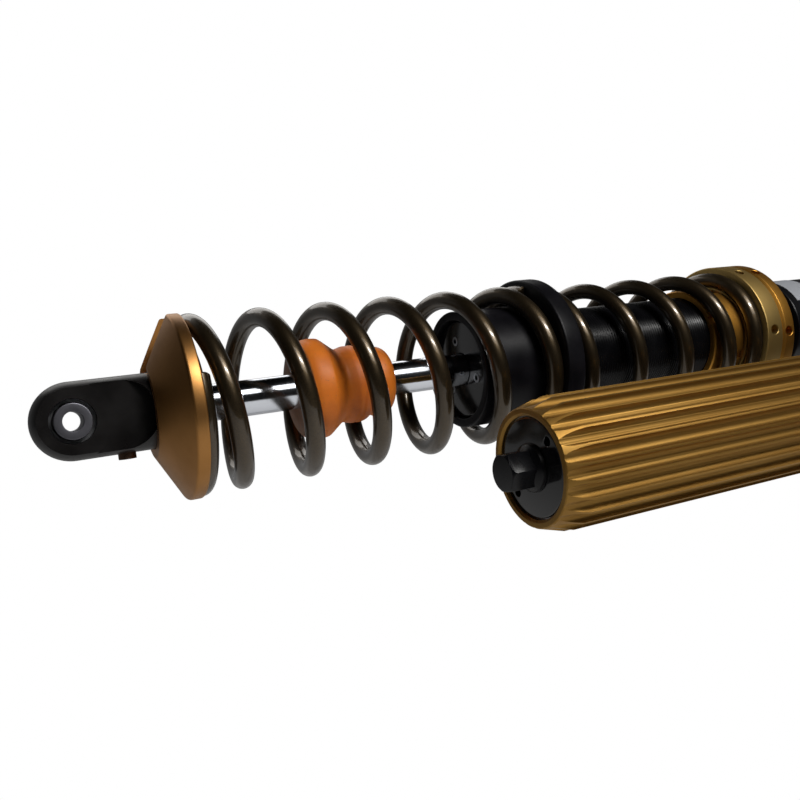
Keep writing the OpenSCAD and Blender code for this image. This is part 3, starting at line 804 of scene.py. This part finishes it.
def end_cap():
    """Reservoir's end cap, its two wrench holes and the hexagonal cover of its valve."""
    face = extent("reservoir_end_cap")[0]
    spots = [around(41.3 + 180 * i, 21.4 * MM, RESERVOIR_AXIS) for i in range(2)]
    holes = [face_hole(face, y, z, 2.5 * MM, 6 * MM, 0.25 * MM) for y, z in spots]
    turned("reservoir_end_cap", [
        (211.4, 4.2), (211.4, 26.9, 1.1), (214.8, 26.9), (214.8, 27.55, 0.2), (219, 27.55), (219, 25),
        (222.4, 25), (222.4, 27.55), (229, 27.55, 0.6), (229, 4.2)], RESERVOIR_AXIS, holes)
    outer, corner, root = extent("valve_cover")[0], 19 * MM / math.sqrt(3), station(210.4)
    bar = [(outer, 0), (outer, corner), (root, corner), (root, 0)]
    hexagon = lathe("valve_cover_finished", bar, segments=6)
    hexagon.data.transform(Matrix.Rotation(math.radians(-3), 4, "X"))
    hexagon.data.transform(Matrix.Translation((0, *RESERVOIR_AXIS)))
    over = 3 * MM
    chamfer = lathe("cutter", [
        (outer - over, 9 * MM), (outer - over, 30 * MM), (station(215), 30 * MM), (station(215), 13.3 * MM),
        (outer + 1.4 * MM, 10.8 * MM), (outer, 9.3 * MM)], RESERVOIR_AXIS)
    cut(hexagon, [chamfer])
    bevelled(hexagon, 0.4 * MM, 3, 20)
    skirt = lathe("skirt", metres([
        (206.4, 4.3), (206.4, 9.3), (209.2, 12.6, 1.0), (211.3, 13.3, 0.3), (211.3, 4.3)]), RESERVOIR_AXIS)
    stand_for(joined("valve_cover_finished", [hexagon, skirt]), "valve_cover")


def prism(name, outline, low, high):
    """Outline of (x, z) points drawn out along Y."""
    size = len(outline)
    points = [(x, y, z) for y in (low, high) for x, z in outline]
    faces = [tuple(range(size)), tuple(range(size, 2 * size))[::-1]]
    faces += [(k, (k + 1) % size, size + (k + 1) % size, size + k) for k in range(size)]
    return mesh_object(name, points, faces)


EYE_RADIUS = 20.8 * MM


def eye_cutters(x, towards, reach):
    """Side pockets, bearing bore and lip of an eye at x, whose bar runs towards +X or -X."""
    floor, boss, boss_r, over = 10.2 * MM, 11.5 * MM, 20.3 * MM, 30 * MM
    round_r = EYE_RADIUS - 2.2 * MM
    turn_centre = reach * MM - round_r
    steps = 24
    arc = [(turn_centre + round_r * math.sin(a), round_r * math.cos(a))
           for a in (math.pi * k / steps for k in range(steps + 1))]
    outline = [(x + towards * px, pz) for px, pz in [(-over, round_r)] + arc + [(-over, -round_r)]]
    cutters = []
    for side in (-1, 1):
        pocket = prism("cutter", outline, side * floor, side * over)
        keep = placed(lathe("cutter", [(-boss, 0), (-boss, boss_r), (boss, boss_r), (boss, 0)]), x)
        cutters.append(cut(pocket, [keep]))
    bore = local([(-25, 0), (-25, 12.4), (-11.2, 11.7), (-5, 11.7), (-5, 12.7), (5.05, 12.7), (5.05, 13.7),
                  (6.25, 13.7), (6.25, 12.7), (11, 12.7), (25, 26), (25, 0)])
    cutters.append(placed(lathe("cutter", bore), x))
    return cutters


def dome(x, towards):
    """Corners of the round end of an eye bar, from its tip to its full radius."""
    steps = 20
    return [(x - towards * EYE_RADIUS * math.cos(a), EYE_RADIUS * math.sin(a))
            for a in (math.pi / 2 * k / steps for k in range(steps + 1))]


def lower_eye():
    """Round-bar eye with milled pockets, screwed to the shaft."""
    outline = dome(LOWER_EYE, 1) + metres([
        (52.4, 20.8), (53, 20.2), (53, 8), (33.8, 8), (33.8, 3.2), (25, 3.2), (25, 0)])
    piece = lathe("lower_eye_finished", outline)
    knob_hole = placed(lathe("cutter", local([(-3, 0), (-3, 5), (20.4, 5), (23, 7), (23, 0)]), segments=64),
                       station(25), (0, 0, -1))
    cut(piece, eye_cutters(LOWER_EYE, 1, 42) + [knob_hole])
    bevelled(piece, 0.5 * MM, 3, 32)
    stand_for(piece, "lower_eye")


def bolt_spacers(cad_node, x):
    """Pair of flanged spacers with softened rims."""
    low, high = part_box(cad_node)
    half = (high.y - low.y) / 2 / MM
    corners = [(0.2, 5.1), (0.2, 6.35), (8, 6.35), (8, 9.5, 0.3), (half, 9.5, 0.7), (half, 5.1, 0.4)]
    pair = []
    for side in (-1, 1):
        outline = local([(side * c[0], *c[1:]) for c in corners])
        pair.append(placed(lathe("spacer", outline), x))
    stand_for(joined(cad_node + "_finished", pair), cad_node)


def bridge():
    """Upper cap: sleeve, cone, eye bar, arm and the reservoir's head, in one machined block."""
    drop = math.atan2(-RESERVOIR_AXIS[1], -RESERVOIR_AXIS[0])
    offset = math.hypot(*RESERVOIR_AXIS)
    outline = metres([
        (592, 0), (592, 23.9), (572, 23.9), (572, 31.55), (510, 31.55, 0.4), (510, 36.5, 1.2),
        (607, 36.5, 2), (610, 33.5, 2), (628, 22.3, 1.5), (631, 20.8, 0.5)])
    outline += dome(UPPER_EYE, -1)[::-1]
    piece = lathe("bridge_cap_finished", outline)
    head = lathe("head", metres([
        (596, 12), (596, 24), (580, 24), (580, 30.8), (570, 30.8, 0.3), (570, 37.5, 2), (610, 37.5, 2),
        (610, 12)]), RESERVOIR_AXIS)
    arm = block("arm", (station(578), -offset, -21 * MM), (station(604), 0, 21 * MM),
                Matrix.Rotation(drop, 4, "X"))
    combine(piece, (arm, head), "UNION")
    inside = [
        lathe("cutter", metres([(500, 0), (500, 31.55), (572, 31.55), (572, 23.9), (592, 23.9), (592, 0)])),
        lathe("cutter", metres([
            (560, 0), (560, 30.8), (580, 30.8), (580, 24), (596, 24), (596, 12), (615, 12), (615, 0)]),
            RESERVOIR_AXIS)]
    cut(piece, inside + eye_cutters(UPPER_EYE, -1, 31))
    bevelled(piece, 0.7 * MM, 3, 32)
    stand_for(piece, "bridge_cap")


def label():
    """Blank label over the top of the sleeve."""
    outline = metres([(517, 36.52), (517, 36.85), (540, 36.85), (540, 36.52)])
    steps, start, sweep = 60, 30, 120
    points = [(x, *around(start + sweep * k / steps, r)) for k in range(steps + 1) for x, r in outline]
    faces = [(0, 1, 2, 3), tuple(4 * steps + k for k in (3, 2, 1, 0))]
    for k in range(steps):
        faces += [(4 * k + i, 4 * k + (i + 1) % 4, 4 * k + 4 + (i + 1) % 4, 4 * k + 4 + i) for i in range(4)]
    stand_for(smooth(mesh_object("label_band_finished", points, faces)), "label_band")


springs()
retainer()
bump_stop()
shaft()
slider()
seal_head()
body()
crossover_rings()
collar_and_lock_ring()
fluted_tube()
end_cap()
lower_eye()
bolt_spacers("lower_spacers", LOWER_EYE)
bolt_spacers("upper_spacers", UPPER_EYE)
bridge()
label()


# ---- Camera, stage and light ----


def add_camera():
    """Low view from the wheel end, with the shaft running away to the right."""
    azimuth, elevation, roll = (math.radians(a) for a in (-25.519, 1.904, -7.455))
    back = Vector((math.sin(azimuth) * math.cos(elevation),
                   -math.cos(azimuth) * math.cos(elevation), math.sin(elevation)))
    level = (-back).cross(Vector((0, 0, 1))).normalized()
    upright = level.cross(-back)
    right = math.cos(roll) * level + math.sin(roll) * upright
    top = -math.sin(roll) * level + math.cos(roll) * upright
    data = bpy.data.cameras.new("camera")
    data.sensor_width = 36
    data.lens = 36.391
    data.clip_start = 0.02
    camera = bpy.data.objects.new("camera", data)
    bpy.context.scene.collection.objects.link(camera)
    stand = Matrix.Translation((LOWER_EYE - 0.027141, -0.453908, 0.002871))
    camera.matrix_world = stand @ Matrix((right, top, back)).transposed().to_4x4()
    bpy.context.scene.camera = camera


def seen_or(tree, plain, other):
    """Shader that is plain for the camera and other for light and reflections."""
    seen = node(tree, "ShaderNodeLightPath").outputs["Is Camera Ray"]
    return node(tree, "ShaderNodeMixShader", {0: seen, 1: other, 2: plain}).outputs[0]


def add_floor():
    """Pale floor under and behind the object; the viewer's side of the studio is dark."""
    low = cad_box[0].z - 0.32
    front, far = -0.95, 8
    points = [(-far, front, low), (far, front, low), (far, far, low), (-far, far, low)]
    floor = mesh_object("floor", points, [(0, 1, 2, 3)])
    material, tree, shader = new_material("floor_paper", (0.8, 0.8, 0.8), Roughness=0.9)
    shader.inputs["Emission Color"].default_value = (1, 1, 1, 1)
    shader.inputs["Emission Strength"].default_value = 0.16
    fibres = noise(tree, place(tree), 240, 3)
    tree.links.new(span(tree, fibres, 0.85, 0.95), shader.inputs["Roughness"])
    white = node(tree, "ShaderNodeEmission", {"Color": (1, 1, 1, 1), "Strength": 1.0}).outputs[0]
    tree.links.new(seen_or(tree, white, shader.outputs[0]), tree.nodes["Material Output"].inputs["Surface"])
    floor.data.materials.append(material)


def area_light(name, place_at, aim, size, radiance):
    """Warm white softbox of even brightness that points from one place to another."""
    data = bpy.data.lights.new(name, "AREA")
    data.shape = "RECTANGLE"
    data.size, data.size_y = size
    data.energy = radiance * math.pi * size[0] * size[1]
    data.color = (1, 0.985, 0.96)
    light = bpy.data.objects.new(name, data)
    bpy.context.scene.collection.objects.link(light)
    direction = Vector(aim) - Vector(place_at)
    light.visible_camera = False
    turn = direction.to_track_quat("-Z", "Y").to_matrix().to_4x4()
    light.matrix_world = Matrix.Translation(place_at) @ turn


def add_world():
    """Bright backdrop behind, dark ceiling and front, and plain white for the camera."""
    world = bpy.data.worlds.new("studio")
    bpy.context.scene.world = world
    world.use_nodes = True
    tree = world.node_tree
    background = tree.nodes["Background"]
    direction = node(tree, "ShaderNodeTexCoord").outputs["Generated"]
    parts = node(tree, "ShaderNodeSeparateXYZ", {"Vector": direction}).outputs
    backdrop = span(tree, parts["Y"], 0.008, 0.20, 0.25, 0.9)
    ceiling = span(tree, parts["Z"], 1.0, 0.06, 0.45, 0.85)
    level = node(tree, "ShaderNodeMath", {0: backdrop, 1: ceiling}, operation="MULTIPLY").outputs[0]
    grey = node(tree, "ShaderNodeCombineColor", {"Red": level, "Green": level, "Blue": level}).outputs[0]
    tree.links.new(grey, background.inputs["Color"])
    white = node(tree, "ShaderNodeBackground", {"Color": (1, 1, 1, 1), "Strength": 1.0}).outputs[0]
    tree.links.new(seen_or(tree, white, background.outputs[0]), tree.nodes["World Output"].inputs["Surface"])


def add_lights():
    """A softbox above the viewer's side, brighter towards its middle, and a weak one behind."""
    layers = (((0.44, 0.11), 38.0), ((0.60, 0.30), 4.5), ((0.90, 0.60), 1.8))
    for i, (size, radiance) in enumerate(layers):
        reach = 1 + 0.01 * i
        place_at = (station(480), -0.85 * reach, 0.69 * reach)
        area_light(f"key_{i}", place_at, (station(480), -0.03, 0), size, radiance)
    area_light("back", (station(300), 0.9, 0.75), (station(250), -0.03, 0), (1.4, 0.5), 1.4)


add_camera()
add_floor()
add_world()
add_lights()
scene = bpy.context.scene
scene.view_settings.view_transform = "Standard"
scene.view_settings.look = "None"
